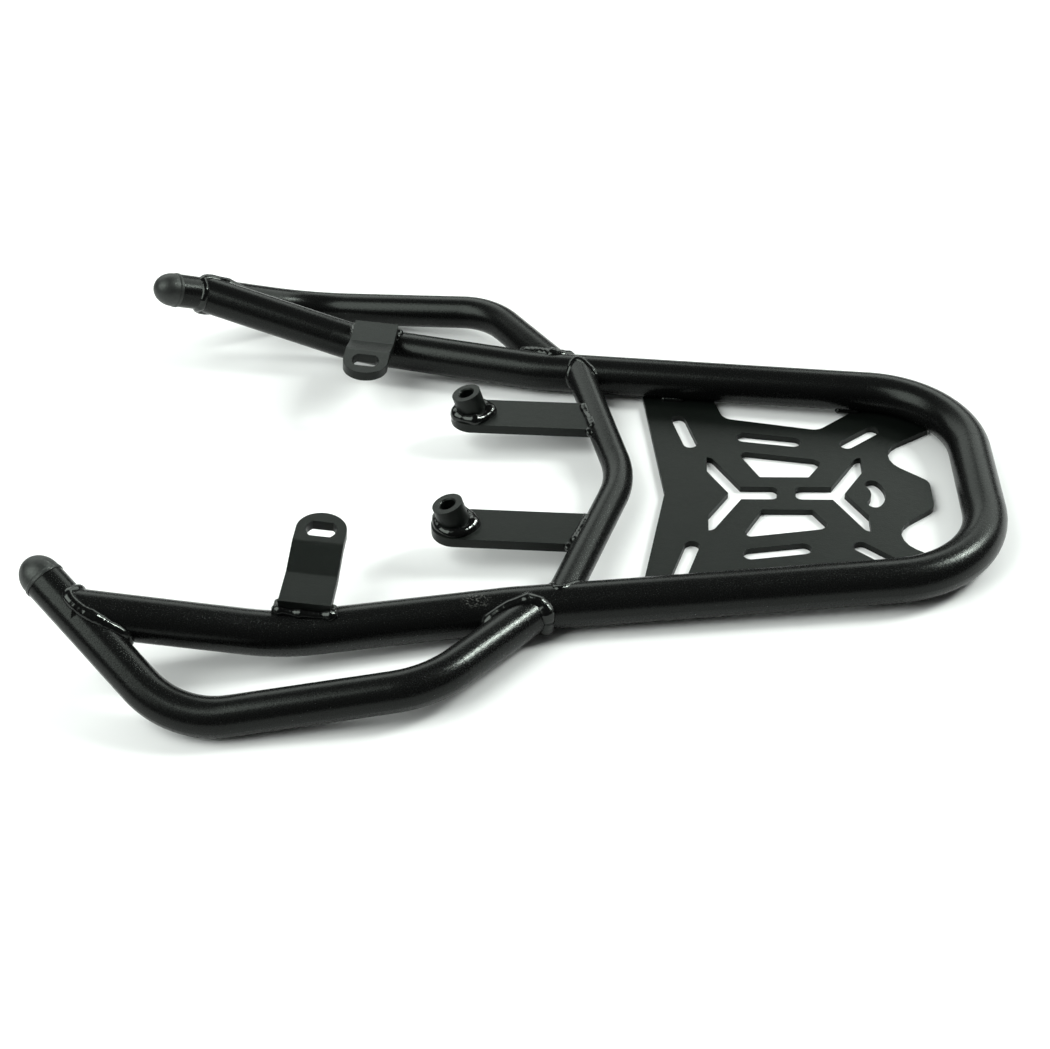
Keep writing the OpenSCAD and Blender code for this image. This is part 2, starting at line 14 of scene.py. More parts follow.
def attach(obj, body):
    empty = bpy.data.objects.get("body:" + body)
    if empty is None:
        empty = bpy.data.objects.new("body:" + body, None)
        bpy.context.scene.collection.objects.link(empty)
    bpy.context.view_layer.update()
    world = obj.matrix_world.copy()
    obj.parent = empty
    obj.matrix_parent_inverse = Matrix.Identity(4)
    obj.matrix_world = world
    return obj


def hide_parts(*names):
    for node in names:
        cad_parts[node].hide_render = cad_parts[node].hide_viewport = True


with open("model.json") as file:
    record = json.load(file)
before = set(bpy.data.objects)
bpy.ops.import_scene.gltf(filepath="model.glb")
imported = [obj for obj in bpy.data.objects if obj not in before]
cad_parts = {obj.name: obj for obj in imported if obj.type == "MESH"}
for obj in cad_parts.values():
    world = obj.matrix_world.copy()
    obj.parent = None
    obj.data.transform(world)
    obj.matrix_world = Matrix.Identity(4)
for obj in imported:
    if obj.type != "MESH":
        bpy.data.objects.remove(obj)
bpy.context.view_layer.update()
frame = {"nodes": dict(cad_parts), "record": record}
nodes = frame["nodes"]

# %% [markdown]
# The camera
# A camera is a place, a direction and a lens. It could be aimed by eye, but then no
# tube would lie quite where the picture has it. So the place, the lens and the camera's
# right, up and backward directions come from a fit to the outlines of the tubes.

# %% Camera
SENSOR_WIDTH = 36.0
LENS = 55.62
CAMERA_PLACE = (0.06857, -0.77348, 0.60886)
CAMERA_RIGHT = (0.99662, 0.06822, -0.04577)
CAMERA_UP = (-0.00761, 0.63138, 0.77543)
CAMERA_BACK = (0.08180, -0.77246, 0.62977)
NEAREST, FARTHEST = 0.01, 50.0

cam_data = bpy.data.cameras.new("camera")
cam_data.sensor_width = SENSOR_WIDTH
cam_data.lens = LENS
cam_data.clip_start = NEAREST
cam_data.clip_end = FARTHEST
cam = bpy.data.objects.new("camera", cam_data)
bpy.context.scene.collection.objects.link(cam)
turn = Matrix((CAMERA_RIGHT, CAMERA_UP, CAMERA_BACK)).transposed().to_4x4()
cam.matrix_world = Matrix.Translation(CAMERA_PLACE) @ turn
bpy.context.scene.camera = cam
print("camera at", [round(c, 3) for c in CAMERA_PLACE])

# %% [markdown]
# The floor
# The rack lies on a plain white sheet. A single large square is enough, because nothing
# but its colour and the shadows on it are ever seen. It lies a hair below zero, so that
# no face of the rack shares its plane.

# %% Floor
FLOOR_HALF = 6.0
FLOOR_DROP = 0.0002
FLOOR_WHITE = (0.92, 0.9, 0.915, 1)

sheet = bpy.data.meshes.new("floor")
corners = [(x * FLOOR_HALF, y * FLOOR_HALF, 0) for x, y in ((-1, -1), (1, -1), (1, 1), (-1, 1))]
sheet.from_pydata(corners, [], [(0, 1, 2, 3)])
floor = bpy.data.objects.new("floor", sheet)
floor.location.z = -FLOOR_DROP
bpy.context.scene.collection.objects.link(floor)
floor_mat = bpy.data.materials.new("floor_white")
floor_mat.use_nodes = True
floor_shader = floor_mat.node_tree.nodes["Principled BSDF"]
floor_shader.inputs["Base Color"].default_value = FLOOR_WHITE
floor_shader.inputs["Roughness"].default_value = 0.6
floor_shader.inputs["Specular IOR Level"].default_value = 0.2
sheet.materials.append(floor_mat)
print("floor", 2 * FLOOR_HALF, "m wide")

# %% [markdown]
# The light
# Black paint shows its surroundings, so the light matters more than the paint. A soft lamp
# stands on each side and two long ones at the back. The one overhead is kept out of
# reflections and only whitens the floor, so the tubes' near sides stay dark and their edges
# carry long soft streaks. A narrow beam, seen in reflections alone, gives the grainy streak
# on the near side bar. One big lamp would be simpler, but it would grey every tube alike.

# %% Lamp maker
LAMP_TINT = (0.93, 1.0, 0.95)


def soft_lamp(name, azimuth, height, distance, size, radiance):
    """A rectangular lamp that shines at the origin. Its place is given by two angles in degrees."""
    a, h = math.radians(azimuth), math.radians(height)
    toward = Vector((math.cos(h) * math.cos(a), math.cos(h) * math.sin(a), math.sin(h)))
    data = bpy.data.lights.new(name, "AREA")
    data.shape = "RECTANGLE"
    data.size, data.size_y = size
    data.energy = math.pi * size[0] * size[1] * radiance
    data.color = LAMP_TINT
    lamp = bpy.data.objects.new(name, data)
    lamp.location = toward * distance
    lamp.rotation_euler = (-lamp.location).to_track_quat("-Z", "Y").to_euler()
    bpy.context.scene.collection.objects.link(lamp)
    return lamp


print("lamp maker ready, tint", LAMP_TINT)

# %% Lamps
soft_lamp("left", azimuth=209, height=47, distance=1.9, size=(1.3, 1.6), radiance=5.4)
soft_lamp("right", azimuth=14, height=43, distance=1.9, size=(0.45, 0.7), radiance=25.0)
soft_lamp("back_right", azimuth=50, height=31, distance=2.4, size=(2.5, 1.1), radiance=3.0)
soft_lamp("back_left", azimuth=118, height=30, distance=2.4, size=(2.4, 1.1), radiance=2.6)
top_lamp = soft_lamp("top", azimuth=90, height=89, distance=2.2, size=(2.6, 2.6), radiance=0.45)
top_lamp.visible_glossy = False

# %% The beam for the streak
STREAK_SPREAD = math.radians(14)
STREAK_BAR = Vector((-0.03, -0.15, 0.02))

streak_lamp = soft_lamp("streak", azimuth=20, height=46, distance=1.9, size=(0.34, 0.34), radiance=1.15)
streak_lamp.data.spread = STREAK_SPREAD
streak_lamp.location += STREAK_BAR
streak_lamp.visible_diffuse = False
print("beam aimed at", [round(c, 3) for c in STREAK_BAR])

# %% World
WORLD_TINT = (0.95, 1.0, 0.96, 1)
WORLD_STRENGTH = 0.05

world = bpy.data.worlds.new("world")
world.use_nodes = True
bpy.context.scene.world = world
background = world.node_tree.nodes["Background"]
background.inputs["Color"].default_value = WORLD_TINT
background.inputs["Strength"].default_value = WORLD_STRENGTH
bpy.context.scene.view_settings.view_transform = "Standard"
print("world strength", WORLD_STRENGTH)

# %% [markdown]
# Effects shared by the materials
# A node group is a small tool with named sockets, built once and used by many materials.
# The next three cells hold helpers that save typing: an empty group, a sum or a product, a
# noise, and a soft step from 0 to 1.


# %% Group and math helpers
def new_group(name, inputs, outputs):
    """An empty shader node group with the given sockets, and its two end nodes."""
    tree = bpy.data.node_groups.new(name, "ShaderNodeTree")
    for label, kind, default in inputs:
        socket = tree.interface.new_socket(label, in_out="INPUT", socket_type=kind)
        if default is not None:
            socket.default_value = default
    for label, kind in outputs:
        tree.interface.new_socket(label, in_out="OUTPUT", socket_type=kind)
    return tree, tree.nodes.new("NodeGroupInput"), tree.nodes.new("NodeGroupOutput")


def math_node(tree, operation, a, b=None, clamp=False):
    """A math node fed by sockets or plain numbers."""
    node = tree.nodes.new("ShaderNodeMath")
    node.operation = operation
    node.use_clamp = clamp
    for slot, value in zip(node.inputs, (a, b)):
        if value is None:
            continue
        if isinstance(value, (int, float)):
            slot.default_value = value
        else:
            tree.links.new(value, slot)
    return node.outputs[0]


def product(tree, a, b, c):
    """Three masks multiplied and kept between 0 and 1."""
    return math_node(tree, "MULTIPLY", math_node(tree, "MULTIPLY", a, b), c, True)


print("group and math helpers ready")

# %% Vector helpers
def vector_node(tree, operation, a, b=None):
    """A vector math node fed by sockets or plain vectors."""
    node = tree.nodes.new("ShaderNodeVectorMath")
    node.operation = operation
    for slot, value in zip(node.inputs, (a, b)):
        if value is None:
            continue
        if isinstance(value, tuple):
            slot.default_value = value
        else:
            tree.links.new(value, slot)
    return node


def own_place(tree):
    """The point's place on its own piece, in metres."""
    return tree.nodes.new("ShaderNodeTexCoord").outputs["Object"]


def true_normal(tree):
    """The surface's direction before any bump."""
    return tree.nodes.new("ShaderNodeNewGeometry").outputs["Normal"]


print("vector helpers ready")

# %% Noise and step helpers
def noise_node(tree, place, scale, detail=3.0):
    """A noise over the place, with scale features per metre. Scale may be a socket."""
    node = tree.nodes.new("ShaderNodeTexNoise")
    node.inputs["Detail"].default_value = detail
    tree.links.new(place, node.inputs["Vector"])
    if isinstance(scale, (int, float)):
        node.inputs["Scale"].default_value = scale
    else:
        tree.links.new(scale, node.inputs["Scale"])
    return node.outputs["Fac"]


def band(tree, value, low, high):
    """Runs smoothly from 0 at low to 1 at high."""
    node = tree.nodes.new("ShaderNodeMapRange")
    node.interpolation_type = "SMOOTHSTEP"
    node.inputs["From Min"].default_value = low
    node.inputs["From Max"].default_value = high
    tree.links.new(value, node.inputs["Value"])
    return node.outputs["Result"]


FLOAT, VECTOR = "NodeSocketFloat", "NodeSocketVector"
BEVEL_SAMPLES = 4
print("noise and step helpers ready")

# %% [markdown]
# Powder grain
# Powder coat melts into a skin like fine orange peel. A displaced mesh could show it, but
# would need millions of faces. A bump does it in the shading: a fine noise and a broad one
# tilt the normal. A bevel node first softens the sharp edges, as the coat does.

# %% Powder grain
BROAD_SCALE = 260.0
BROAD_SHARE = 0.8

grain_tree, g_in, g_out = new_group(
    "powder_grain",
    [("Scale", FLOAT, 1100.0), ("Depth", FLOAT, 0.00005), ("Edge Radius", FLOAT, 0.0003)],
    [("Normal", VECTOR), ("Value", FLOAT)])
skin_place = own_place(grain_tree)
fine = noise_node(grain_tree, skin_place, g_in.outputs["Scale"], 2.0)
broad = noise_node(grain_tree, skin_place, BROAD_SCALE, 2.0)
height = math_node(grain_tree, "ADD", fine, math_node(grain_tree, "MULTIPLY", broad, BROAD_SHARE))
soft_edge = grain_tree.nodes.new("ShaderNodeBevel")
soft_edge.samples = BEVEL_SAMPLES
grain_tree.links.new(g_in.outputs["Edge Radius"], soft_edge.inputs["Radius"])
bump = grain_tree.nodes.new("ShaderNodeBump")
grain_tree.links.new(g_in.outputs["Depth"], bump.inputs["Distance"])
grain_tree.links.new(height, bump.inputs["Height"])
grain_tree.links.new(soft_edge.outputs["Normal"], bump.inputs["Normal"])
grain_tree.links.new(bump.outputs["Normal"], g_out.inputs["Normal"])
grain_tree.links.new(fine, g_out.inputs["Value"])
print("made", grain_tree.name)

# %% [markdown]
# Worn edges
# Paint wears first where an edge is rubbed. Where the bevelled normal and the true one
# differ, there is an edge. A noise breaks the line up, so that it looks rubbed and not drawn.

# %% Worn edges
wear_tree, w_in, w_out = new_group(
    "edge_wear", [("Radius", FLOAT, 0.0008), ("Amount", FLOAT, 1.0)], [("Mask", FLOAT)])
rounded = wear_tree.nodes.new("ShaderNodeBevel")
rounded.samples = BEVEL_SAMPLES
wear_tree.links.new(w_in.outputs["Radius"], rounded.inputs["Radius"])
alike = vector_node(wear_tree, "DOT_PRODUCT", rounded.outputs["Normal"], true_normal(wear_tree))
turned = band(wear_tree, math_node(wear_tree, "SUBTRACT", 1.0, alike.outputs["Value"]), 0.01, 0.12)
patchy = band(wear_tree, noise_node(wear_tree, own_place(wear_tree), 90.0), 0.42, 0.62)
wear_tree.links.new(product(wear_tree, turned, patchy, w_in.outputs["Amount"]), w_out.inputs["Mask"])
print("made", wear_tree.name)

# %% [markdown]
# Settled dust
# Dust lies on what faces up. The normal's upward part gives the slope, and a cloudy noise
# keeps the film uneven. It only lightens the black a little.

# %% Settled dust
dust_tree, d_in, d_out = new_group(
    "settled_dust", [("Amount", FLOAT, 0.5), ("Scale", FLOAT, 55.0)], [("Mask", FLOAT)])
tilt = dust_tree.nodes.new("ShaderNodeSeparateXYZ")
dust_tree.links.new(true_normal(dust_tree), tilt.inputs[0])
facing_up = band(dust_tree, tilt.outputs["Z"], 0.2, 0.95)
cloud = noise_node(dust_tree, own_place(dust_tree), d_in.outputs["Scale"], 5.0)
dust_tree.links.new(product(dust_tree, facing_up, cloud, d_in.outputs["Amount"]), d_out.inputs["Mask"])
print("made", dust_tree.name)

# %% [markdown]
# A scuffed patch
# One short patch on the near leg has been scraped. It could be painted on a picture, but a
# mask by place needs none: the distance from a centre, squeezed so that the patch is longer
# along the rack, times fine flecks.

# %% Scuffed patch
SCUFF_SQUEEZE = (0.6, 1, 1)
SCUFF_SOFT = 0.003

scuff_tree, s_in, s_out = new_group(
    "scuff_patch",
    [("Centre", VECTOR, None), ("Radius", FLOAT, 0.006), ("Amount", FLOAT, 1.0)],
    [("Mask", FLOAT)])
scuff_place = own_place(scuff_tree)
away = vector_node(scuff_tree, "SUBTRACT", scuff_place, s_in.outputs["Centre"])
squeezed = vector_node(scuff_tree, "MULTIPLY", away.outputs["Vector"], SCUFF_SQUEEZE)
far = vector_node(scuff_tree, "LENGTH", squeezed.outputs["Vector"])
left_over = math_node(scuff_tree, "SUBTRACT", s_in.outputs["Radius"], far.outputs["Value"])
inside = band(scuff_tree, left_over, 0.0, SCUFF_SOFT)
flecks = band(scuff_tree, noise_node(scuff_tree, scuff_place, 900.0, 2.0), 0.5, 0.68)
scuff_tree.links.new(product(scuff_tree, inside, flecks, s_in.outputs["Amount"]), s_out.inputs["Mask"])
print("node groups", [t.name for t in bpy.data.node_groups])

# %% [markdown]
# Materials
# All four are a black dielectric. What tells them apart is roughness and grain: the tubes
# are satin, the flat parts are a little rougher and greener, the welds shine because the
# coat pools smooth on them, and the rubber tips are matt. One maker with different values
# keeps them alike where they should be.

# %% Material maker
COAT_TINT = (0.95, 1.0, 0.955, 1)
NOISE_LOW, NOISE_HIGH = 0.3, 0.7


def mixed_colour(tree, mask, low, high):
    """Blends by a mask from one colour to another. Low may be a socket."""
    node = tree.nodes.new("ShaderNodeMix")
    node.data_type = "RGBA"
    if isinstance(low, tuple):
        node.inputs["A"].default_value = (*low, 1)
    else:
        tree.links.new(low, node.inputs["A"])
    node.inputs["B"].default_value = (*high, 1)
    tree.links.new(mask, node.inputs["Factor"])
    return node.outputs["Result"]


def place_group(tree, group, **values):
    """A node group in a material, with its own values."""
    node = tree.nodes.new("ShaderNodeGroup")
    node.node_tree = group
    for key, value in values.items():
        node.inputs[key.replace("_", " ")].default_value = value
    return node


def coat(name, colour, dusty, rough, grain_scale, grain_depth, edge, wear, dust, specular):
    """A black coat: rough is (least, most), and wear and dust say how much of each there is."""
    mat = bpy.data.materials.new(name)
    mat.use_nodes = True
    tree = mat.node_tree
    shader = tree.nodes["Principled BSDF"]
    shader.inputs["Specular IOR Level"].default_value = specular
    shader.inputs["Specular Tint"].default_value = COAT_TINT
    grain = place_group(tree, grain_tree, Scale=grain_scale, Depth=grain_depth, Edge_Radius=edge)
    worn = place_group(tree, wear_tree, Amount=wear)
    dusted = place_group(tree, dust_tree, Amount=dust)
    both = math_node(tree, "ADD", worn.outputs["Mask"], dusted.outputs["Mask"], True)
    tree.links.new(mixed_colour(tree, both, colour, dusty), shader.inputs["Base Color"])
    spread = tree.nodes.new("ShaderNodeMapRange")
    spread.inputs["From Min"].default_value = NOISE_LOW
    spread.inputs["From Max"].default_value = NOISE_HIGH
    spread.inputs["To Min"].default_value, spread.inputs["To Max"].default_value = rough
    tree.links.new(grain.outputs["Value"], spread.inputs["Value"])
    tree.links.new(spread.outputs["Result"], shader.inputs["Roughness"])
    tree.links.new(grain.outputs["Normal"], shader.inputs["Normal"])
    return mat


print("coat maker ready, tint", COAT_TINT)

# %% The satin of the tubes and the matt flat parts
tube_coat = coat(
    "tube_coat", colour=(0.003, 0.003, 0.0031), dusty=(0.012, 0.0125, 0.012), rough=(0.2, 0.32),
    grain_scale=1300.0, grain_depth=0.00005, edge=0.0004, wear=0.3, dust=0.2, specular=0.185)
flat_coat = coat(
    "flat_coat", colour=(0.002, 0.0028, 0.0023), dusty=(0.009, 0.0105, 0.0095), rough=(0.34, 0.46),
    grain_scale=1300.0, grain_depth=0.00008, edge=0.0004, wear=0.5, dust=0.35, specular=0.2)
print("made", tube_coat.name, "and", flat_coat.name)

# %% The glossy welds and the rubber tips
weld_coat = coat(
    "weld_coat", colour=(0.0025, 0.0025, 0.0026), dusty=(0.01, 0.01, 0.01), rough=(0.12, 0.24),
    grain_scale=700.0, grain_depth=0.00004, edge=0.0003, wear=0.0, dust=0.05, specular=0.36)
rubber = coat(
    "rubber_tips", colour=(0.006, 0.006, 0.0062), dusty=(0.015, 0.015, 0.015), rough=(0.4, 0.54),
    grain_scale=1300.0, grain_depth=0.00008, edge=0.0004, wear=0.3, dust=0.3, specular=0.5)
print("made", weld_coat.name, "and", rubber.name)

# %% Paint the CAD nodes
finish_of = {"tube_coat": tube_coat, "flat_coat": flat_coat, "weld_coat": weld_coat, "rubber_tips": rubber}
for part in frame["record"]["subparts"]:
    obj = nodes[part["node"]]
    obj.data.materials.clear()
    obj.data.materials.append(finish_of[part["material_slot"]])
print("materials", sorted(finish_of))

# %% The scuff on the near leg
SCUFF_CENTRE = (-0.0292, -0.1235, 0.0262)
SCRAPED_GREY = (0.07, 0.07, 0.066)

tube_tree = tube_coat.node_tree
scuff = place_group(tube_tree, scuff_tree, Centre=SCUFF_CENTRE)
tube_colour = tube_tree.nodes["Principled BSDF"].inputs["Base Color"]
unscuffed = tube_colour.links[0].from_socket
tube_tree.links.new(mixed_colour(tube_tree, scuff.outputs["Mask"], unscuffed, SCRAPED_GREY), tube_colour)
print("scuff at", SCUFF_CENTRE)

# %% [markdown]
# The skeleton of the tubes
# The weld beads follow the seams between tubes, so the tubes' centre lines are needed
# here too. They repeat the driving numbers of the CAD source, in millimetres, which is
# simpler and truer than tracing the edges of a mesh.

# %% Centre lines
MM = 0.001
CENTRE_X = 47.654
MID_X, TAIL_X = 36, 303
BAR_END_X, CROSS_END_X = 53, 63
LEG_OFF = 22.3
CROSS_RISE = 3.8


def spot(x, y, z):
    """A point in the rack's frame, given in millimetres from the bolt bosses."""
    return Vector(((x - CENTRE_X) * MM, y * MM, z * MM))


tail, mid, knee = spot(TAIL_X, 84.5, 15.2), spot(MID_X, 117, 13.5), spot(-86, 144, 17)
tip, front, rear = spot(-206, 148, 57.5), spot(-131.5, 203.5, 9.4), spot(-0.5, 182, 18)


def on_leg(x):
    """The point of the leg's long straight run at x."""
    return mid.lerp(tail, (x - MID_X) / (TAIL_X - MID_X))


leg_end = tip + (front - tip).normalized() * LEG_OFF * MM
bar_end = on_leg(BAR_END_X)
cross_end = on_leg(CROSS_END_X) + Vector((0, 0, CROSS_RISE * MM))
cross_mid = spot(94.5, 0, 14.3)
MAIN_R, BAR_R, CROSS_R = 12.5 * MM, 11 * MM, 9 * MM
print("leg ends at", [round(c, 4) for c in leg_end])

# %% [markdown]
# Seams
# A bead lies where one bar meets another. Lines are run along the bar's surface, and the
# first point of each that touches the tube is kept. That is slower than a formula, but it
# works for round bars and flat tabs alike, and at any angle.


# %% Nearest points
def share_along(point, a, b):
    """How far along the stretch from a to b a point lies, from 0 to 1."""
    run = b - a
    return max(0.0, min(1.0, (point - a).dot(run) / run.length_squared))


def reach(point, a, b):
    """Distance from a point to the stretch from a to b."""
    return (point - a - (b - a) * share_along(point, a, b)).length


def foot(point, stretches):
    """The nearest point of some stretches of a tube's centre line."""
    a, b = min(stretches, key=lambda ab: reach(point, *ab))
    return a + (b - a) * share_along(point, a, b)


def ring(radius, count=72):
    """The round section of a bar, as (side, up) offsets."""
    turns = [2 * math.pi * k / count for k in range(count)]
    return [(radius * math.cos(a), radius * math.sin(a)) for a in turns]


print("nearest points ready, a ring has", len(ring(MAIN_R)), "points")

# %% Seam finder
SEARCH_STEPS = 600
SEARCH_BEYOND = 15 * MM
EVEN_ROUNDS = 12


def first_touch(origin, along, length, stretches, radius):
    """Where a line first meets a tube, or where it passes closest."""
    best, best_gap = 0.0, math.inf
    for k in range(SEARCH_STEPS):
        t = length * k / (SEARCH_STEPS - 1)
        gap = min(reach(origin + along * t, a, b) for a, b in stretches) - radius
        if gap < best_gap:
            best, best_gap = t, gap
        if gap <= 0:
            break
    return origin + along * best


def seam(start, end, section, target, sink=0.0, fill=0.0, closed=False):
    """Where a bar of the given section, run from start to end, meets a tube.

    section is a list of (side, up) offsets. target is (list of centre line stretches, radius).
    The seam is moved by sink into the corner between the bar and the tube, and by up to fill
    out of it again where the two close on each other, as a weld fills a narrow corner. A
    closed seam is evened out, because a welder's hand doesn't follow each kink.
    """
    along = (end - start).normalized()
    side = along.cross(Vector((0, 0, 1))).normalized()
    top = side.cross(along)
    length = (end - start).length + SEARCH_BEYOND
    stretches, radius = target
    points = []
    for s, u in section:
        at = first_touch(start + side * s + top * u, along, length, stretches, radius)
        from_bar = (side * s + top * u).normalized()
        from_tube = (at - foot(at, stretches)).normalized()
        out = fill * (1 - from_bar.dot(from_tube)) / 2 - sink
        points.append(at + (from_bar + from_tube).normalized() * out)
    for _ in range(EVEN_ROUNDS if closed else 0):
        points = [(points[k - 1] + points[k] + points[(k + 1) % len(points)]) / 3
                  for k in range(len(points))]
    return points


print("seam finder ready")

# %% [markdown]
# Weld beads
# A hand-made bead is a row of overlapping puddles. Its section swells at each puddle, its
# pitch is not quite even, and it is thicker where the welder paused. A bump could show the
# ripples but not the lumps against the light, so the mesh itself is made: a tube swept
# along the seam with its radius changed that way, then pushed about by noise. Its middle
# lies near the corner, so that only a fillet shows.

# %% Bead numbers and spacing
AROUND = 18
BEAD_STEP = 0.5 * MM
PITCH_SHARE, PITCH_UNEVEN = 0.9, 0.35
RIPPLE_DEPTH, RIPPLE_LEAST, RIPPLE_RISE = 0.05, 0.6, 2.5
SWELL_DEPTH = 0.14
ROUGH_DEPTH = 0.08
LOWEST = 0.4 * MM
# An open bead rounds off over its last steps, down to a blunt tip
ROUND_STEPS, BLUNT = 4.0, 0.15
# Bumps per metre of the four noises
PITCH_NOISE, RIPPLE_NOISE, SWELL_NOISE, ROUGH_NOISE = 90.0, 60.0, 110.0, 200.0


def resample(points, closed):
    """Evenly spaced points along a polyline, and its length."""
    pts = points + [points[0]] if closed else points
    lengths = [0.0]
    for a, b in zip(pts, pts[1:]):
        lengths.append(lengths[-1] + (b - a).length)
    count = max(6, int(lengths[-1] / BEAD_STEP))
    out, i = [], 0
    for k in range(count if closed else count + 1):
        d = lengths[-1] * k / count
        while i < len(pts) - 2 and lengths[i + 1] < d:
            i += 1
        share = (d - lengths[i]) / max(lengths[i + 1] - lengths[i], 1e-9)
        out.append(pts[i].lerp(pts[i + 1], share))
    return out, lengths[-1]


print("bead step", BEAD_STEP, "m")

# %% Ripples and lumps
def ripple_phases(centre, length, radius, closed, seed):
    """Which part of its puddle each point lies in, counted in puddles from the start."""
    phases, pos = [], 0.0
    for point in centre:
        phases.append(pos)
        uneven = 1.0 + PITCH_UNEVEN * noise.noise(point * PITCH_NOISE + Vector((0, seed, 0)))
        pos += (length / len(centre)) / (PITCH_SHARE * radius * uneven)
    return [p * round(pos) / pos for p in phases] if closed else phases


def thickness(point, share, phase, closed, lumps, seed):
    """How thick the bead is at a point, against its plain radius."""
    f = phase % 1.0
    fade = RIPPLE_LEAST + noise.noise(point * RIPPLE_NOISE + Vector((0, 0, seed)))
    depth = RIPPLE_DEPTH * max(0.0, fade)
    ripple = 1.0 + depth * (1.0 - f) * math.sin(math.pi * min(1.0, f * RIPPLE_RISE))
    swell = 1.0 + SWELL_DEPTH * noise.noise(point * SWELL_NOISE + Vector((seed, 0, 0)))
    for at, size, spread in lumps:
        gap = abs(share - at)
        gap = min(gap, 1 - gap) if closed else gap
        swell += size * math.exp(-(gap / spread) ** 2)
    return ripple * swell


print("ripple depth", RIPPLE_DEPTH, "swell", SWELL_DEPTH)

# %% Bead sweep
def sweep(points, radius, closed, lumps, seed, base):
    """The vertices and faces of one bead. base is the number of its first vertex."""
    centre, length = resample(points, closed)
    n = len(centre)
    phases = ripple_phases(centre, length, radius, closed, seed)
    verts, faces = [], []
    for k in range(n):
        before = centre[k - 1] if closed or k else centre[0]
        after = centre[(k + 1) % n] if closed or k < n - 1 else centre[-1]
        along = (after - before).normalized()
        side = along.cross(Vector((0, 0, 1)))
        side = side.normalized() if side.length > 1e-4 else Vector((1, 0, 0))
        top = side.cross(along)
        end = 1.0 if closed else min(1.0, math.sqrt((min(k, n - 1 - k) + BLUNT) / ROUND_STEPS))
        r = radius * thickness(centre[k], k / n, phases[k], closed, lumps, seed) * end
        for j in range(AROUND):
            a = 2 * math.pi * j / AROUND
            p = centre[k] + (side * math.cos(a) + top * math.sin(a)) * r
            p += (p - centre[k]) * ROUGH_DEPTH * noise.noise(p * ROUGH_NOISE)
            p.z = max(p.z, LOWEST)
            verts.append(p)
    for k in range(n if closed else n - 1):
        for j in range(AROUND):
            a, b, nxt = base + k * AROUND, base + ((k + 1) % n) * AROUND, (j + 1) % AROUND
            faces.append((a + j, a + nxt, b + nxt, b + j))
    if not closed:
        faces.append(tuple(base + j for j in reversed(range(AROUND))))
        faces.append(tuple(base + (n - 1) * AROUND + j for j in range(AROUND)))
    return verts, faces


print("bead sweep ready,", AROUND, "points around")

# %% Bead maker
def run(points, radius_mm, closed=False, lumps=()):
    """One bead of a weld. Each lump is (share along the bead, size, spread)."""
    return points, radius_mm * MM, closed, lumps


def bead(kind, s, runs, seed):
    """Builds one weld and puts it in place of its CAD node. s is 1 on the right, -1 on the left."""
    name = f"bead_{kind}_{'right' if s > 0 else 'left'}"
    verts, faces = [], []
    for points, radius, closed, lumps in runs:
        own_side = [Vector((p.x, p.y * s, p.z)) for p in points]
        more_verts, more_faces = sweep(own_side, radius, closed, lumps, seed, len(verts))
        verts += more_verts
        faces += more_faces
    mesh = bpy.data.meshes.new(name)
    mesh.from_pydata([tuple(v) for v in verts], [], faces)
    mesh.shade_smooth()
    mesh.update()
    obj = bpy.data.objects.new(name, mesh)
    bpy.context.scene.collection.objects.link(obj)
    mesh.materials.append(weld_coat)
    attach(obj, "root")
    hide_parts(name.replace("bead_", "weld_"))


print("bead maker ready")

# %% [markdown]
# The tube joints
# The loop's legs end on the side bars, the side bars end on the legs, and the cross tube
# ends on both legs. Each joint has one closed bead all the way round.

# %% Beads of the tube joints
legs = [(knee, mid), (mid, tail)]
front_seam = seam(knee, leg_end, ring(MAIN_R), ([(tip, front)], BAR_R),
                  sink=1.6 * MM, fill=5.0 * MM, closed=True)
rear_seam = seam(rear, bar_end, ring(BAR_R), (legs, MAIN_R),
                 sink=2.0 * MM, fill=3.6 * MM, closed=True)
cross_seam = seam(cross_mid, cross_end, ring(CROSS_R), (legs, MAIN_R), sink=1.7 * MM, closed=True)
FRONT_LUMPS = [(0.15, 0.2, 0.05), (0.6, 0.15, 0.04)]
REAR_LUMPS = [(0.02, 0.25, 0.04), (0.3, 0.2, 0.03), (0.45, 0.3, 0.04), (0.56, 0.35, 0.03), (0.7, 0.2, 0.03)]
CROSS_LUMPS = [(0.1, 0.2, 0.05)]
for s in (1, -1):
    bead("front", s, [run(front_seam, 3.3, True, FRONT_LUMPS)], 11 + s)
    bead("rear", s, [run(rear_seam, 4.2, True, REAR_LUMPS)], 21 + s)
    bead("cross", s, [run(cross_seam, 3.0 + 0.3 * s, True, CROSS_LUMPS)], 31 + s)
print("tube seams", len(front_seam), len(rear_seam), len(cross_seam))

# %% [markdown]
# Tabs and bosses
# A tab is a flat strip, so its seam with the cross tube is found the same way, from a flat
# section: a wide low bead on top and a short one up each edge. A boss has one lumpy ring
# around its foot. The beads of both are laid further down, with those of the other small
# parts.

# %% Seams of the tabs
FALL = math.radians(2.5)
TAB_HALF = 14
TAB_START, TAB_STOP = 30, 80
EDGE_DEPTHS = (-6, -4, -2, 0)
TOP_POINTS = 24


def turned_spot(origin, angle, x, y, z):
    """A point in millimetres in a frame at origin that is turned about Y."""
    c, n = math.cos(angle), math.sin(angle)
    return origin + Vector((x * c + z * n, y, -x * n + z * c)) * MM


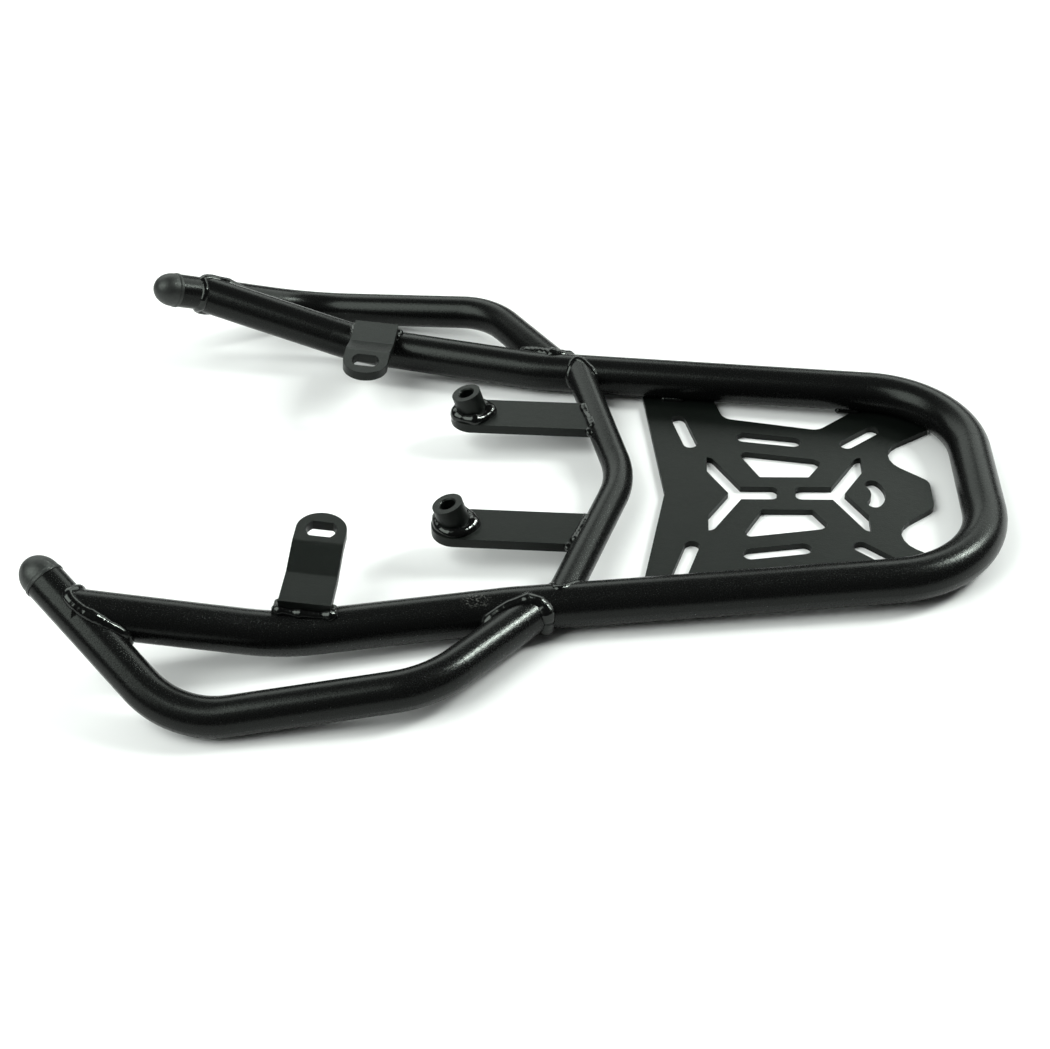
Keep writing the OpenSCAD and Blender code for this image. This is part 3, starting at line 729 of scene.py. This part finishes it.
boss_foot = spot(0, 55.5, 23.8)
tab_top_line = [((2 * k / TOP_POINTS - 1) * TAB_HALF * MM, 0) for k in range(TOP_POINTS + 1)]
tab_start = turned_spot(boss_foot, FALL, TAB_START, 0, 0)
tab_stop = turned_spot(boss_foot, FALL, TAB_STOP, 0, 0)
cross_target = ([(cross_end, cross_mid)], CROSS_R)


def tab_edge(side):
    """The seam up one edge of the tab. side is 1 toward the rack's middle, -1 away from it."""
    line = [(side * TAB_HALF * MM, z * MM) for z in EDGE_DEPTHS]
    return seam(tab_start, tab_stop, line, cross_target, sink=0.8 * MM)


def tab_runs(s):
    """The three beads of a tab. The edge that faces the camera has the bigger one."""
    near_edge = run(tab_edge(s), 3.2, lumps=[(0.7, 0.4, 0.3)])
    return [run(tab_top, 3.2), near_edge, run(tab_edge(-s), 2.8)]


tab_top = seam(tab_start, tab_stop, tab_top_line, cross_target, sink=1.7 * MM)
print("tab seams", len(tab_top), len(EDGE_DEPTHS))

# %% Rings of the bosses
LEAN = math.radians(-14)
BOSS_RING_R = 9.6
BOSS_POINTS = 48
BOSS_LUMPS = [(0.0, 0.45, 0.06), (0.58, 0.5, 0.07), (0.78, 0.4, 0.05)]

stretch = 1 / math.cos(LEAN - FALL)
boss_ring = [turned_spot(boss_foot, FALL, x * stretch, y, 0.6) for x, y in ring(BOSS_RING_R, BOSS_POINTS)]
boss_runs = [run(boss_ring, 3.3, True, BOSS_LUMPS)]
print("boss ring", len(boss_ring))

# %% [markdown]
# Brackets and plate
# A bracket's bead runs round the outer end of its strip, where it sits on the tube. The
# plate has two short beads on each side, where its upper face meets the tube.

# %% Edges of the brackets
PITCH = math.radians(7.5)
BRACKET_LUMPS = [(0.2, 0.45, 0.05), (0.45, 0.3, 0.06), (0.8, 0.5, 0.05)]

strip_origin = spot(-71.5, 85, 37)
half_edge = [(14.6, 47, -6.6), (14.8, 54.6, -7.2), (5, 55.4, -7.4)]
whole_edge = [(-x, y, z) for x, y, z in half_edge] + half_edge[::-1]
strip_edge = [turned_spot(strip_origin, PITCH, *point) for point in whole_edge]
bracket_runs = [run(strip_edge, 2.7, lumps=BRACKET_LUMPS)]
print("bracket edge", len(strip_edge))

# %% Lines of the plate
PLATE_TOP = 4 * MM
PLATE_INSET, PLATE_BEAD_Z = 0.9 * MM, 4.2 * MM
PLATE_RUNS = ((117, 133), (228, 244))
PLATE_POINTS = 8


def plate_line(x0, x1):
    """The line where the plate's upper face meets the tube."""
    out = []
    for k in range(PLATE_POINTS + 1):
        axis = on_leg(x0 + (x1 - x0) * k / PLATE_POINTS)
        half_width = math.sqrt(MAIN_R ** 2 - (axis.z - PLATE_TOP) ** 2)
        out.append(Vector((axis.x, axis.y - half_width - PLATE_INSET, PLATE_BEAD_Z)))
    return out


plate_runs = [run(plate_line(*ends), 2.4) for ends in PLATE_RUNS]
print("plate beads", len(plate_runs), "on each side")

# %% Lay the small beads
for s in (1, -1):
    bead("tab", s, tab_runs(s), 41 + s)
    bead("boss", s, boss_runs, 51 + s)
    bead("bracket", s, bracket_runs, 61 + s)
    bead("plate", s, plate_runs, 71 + s)
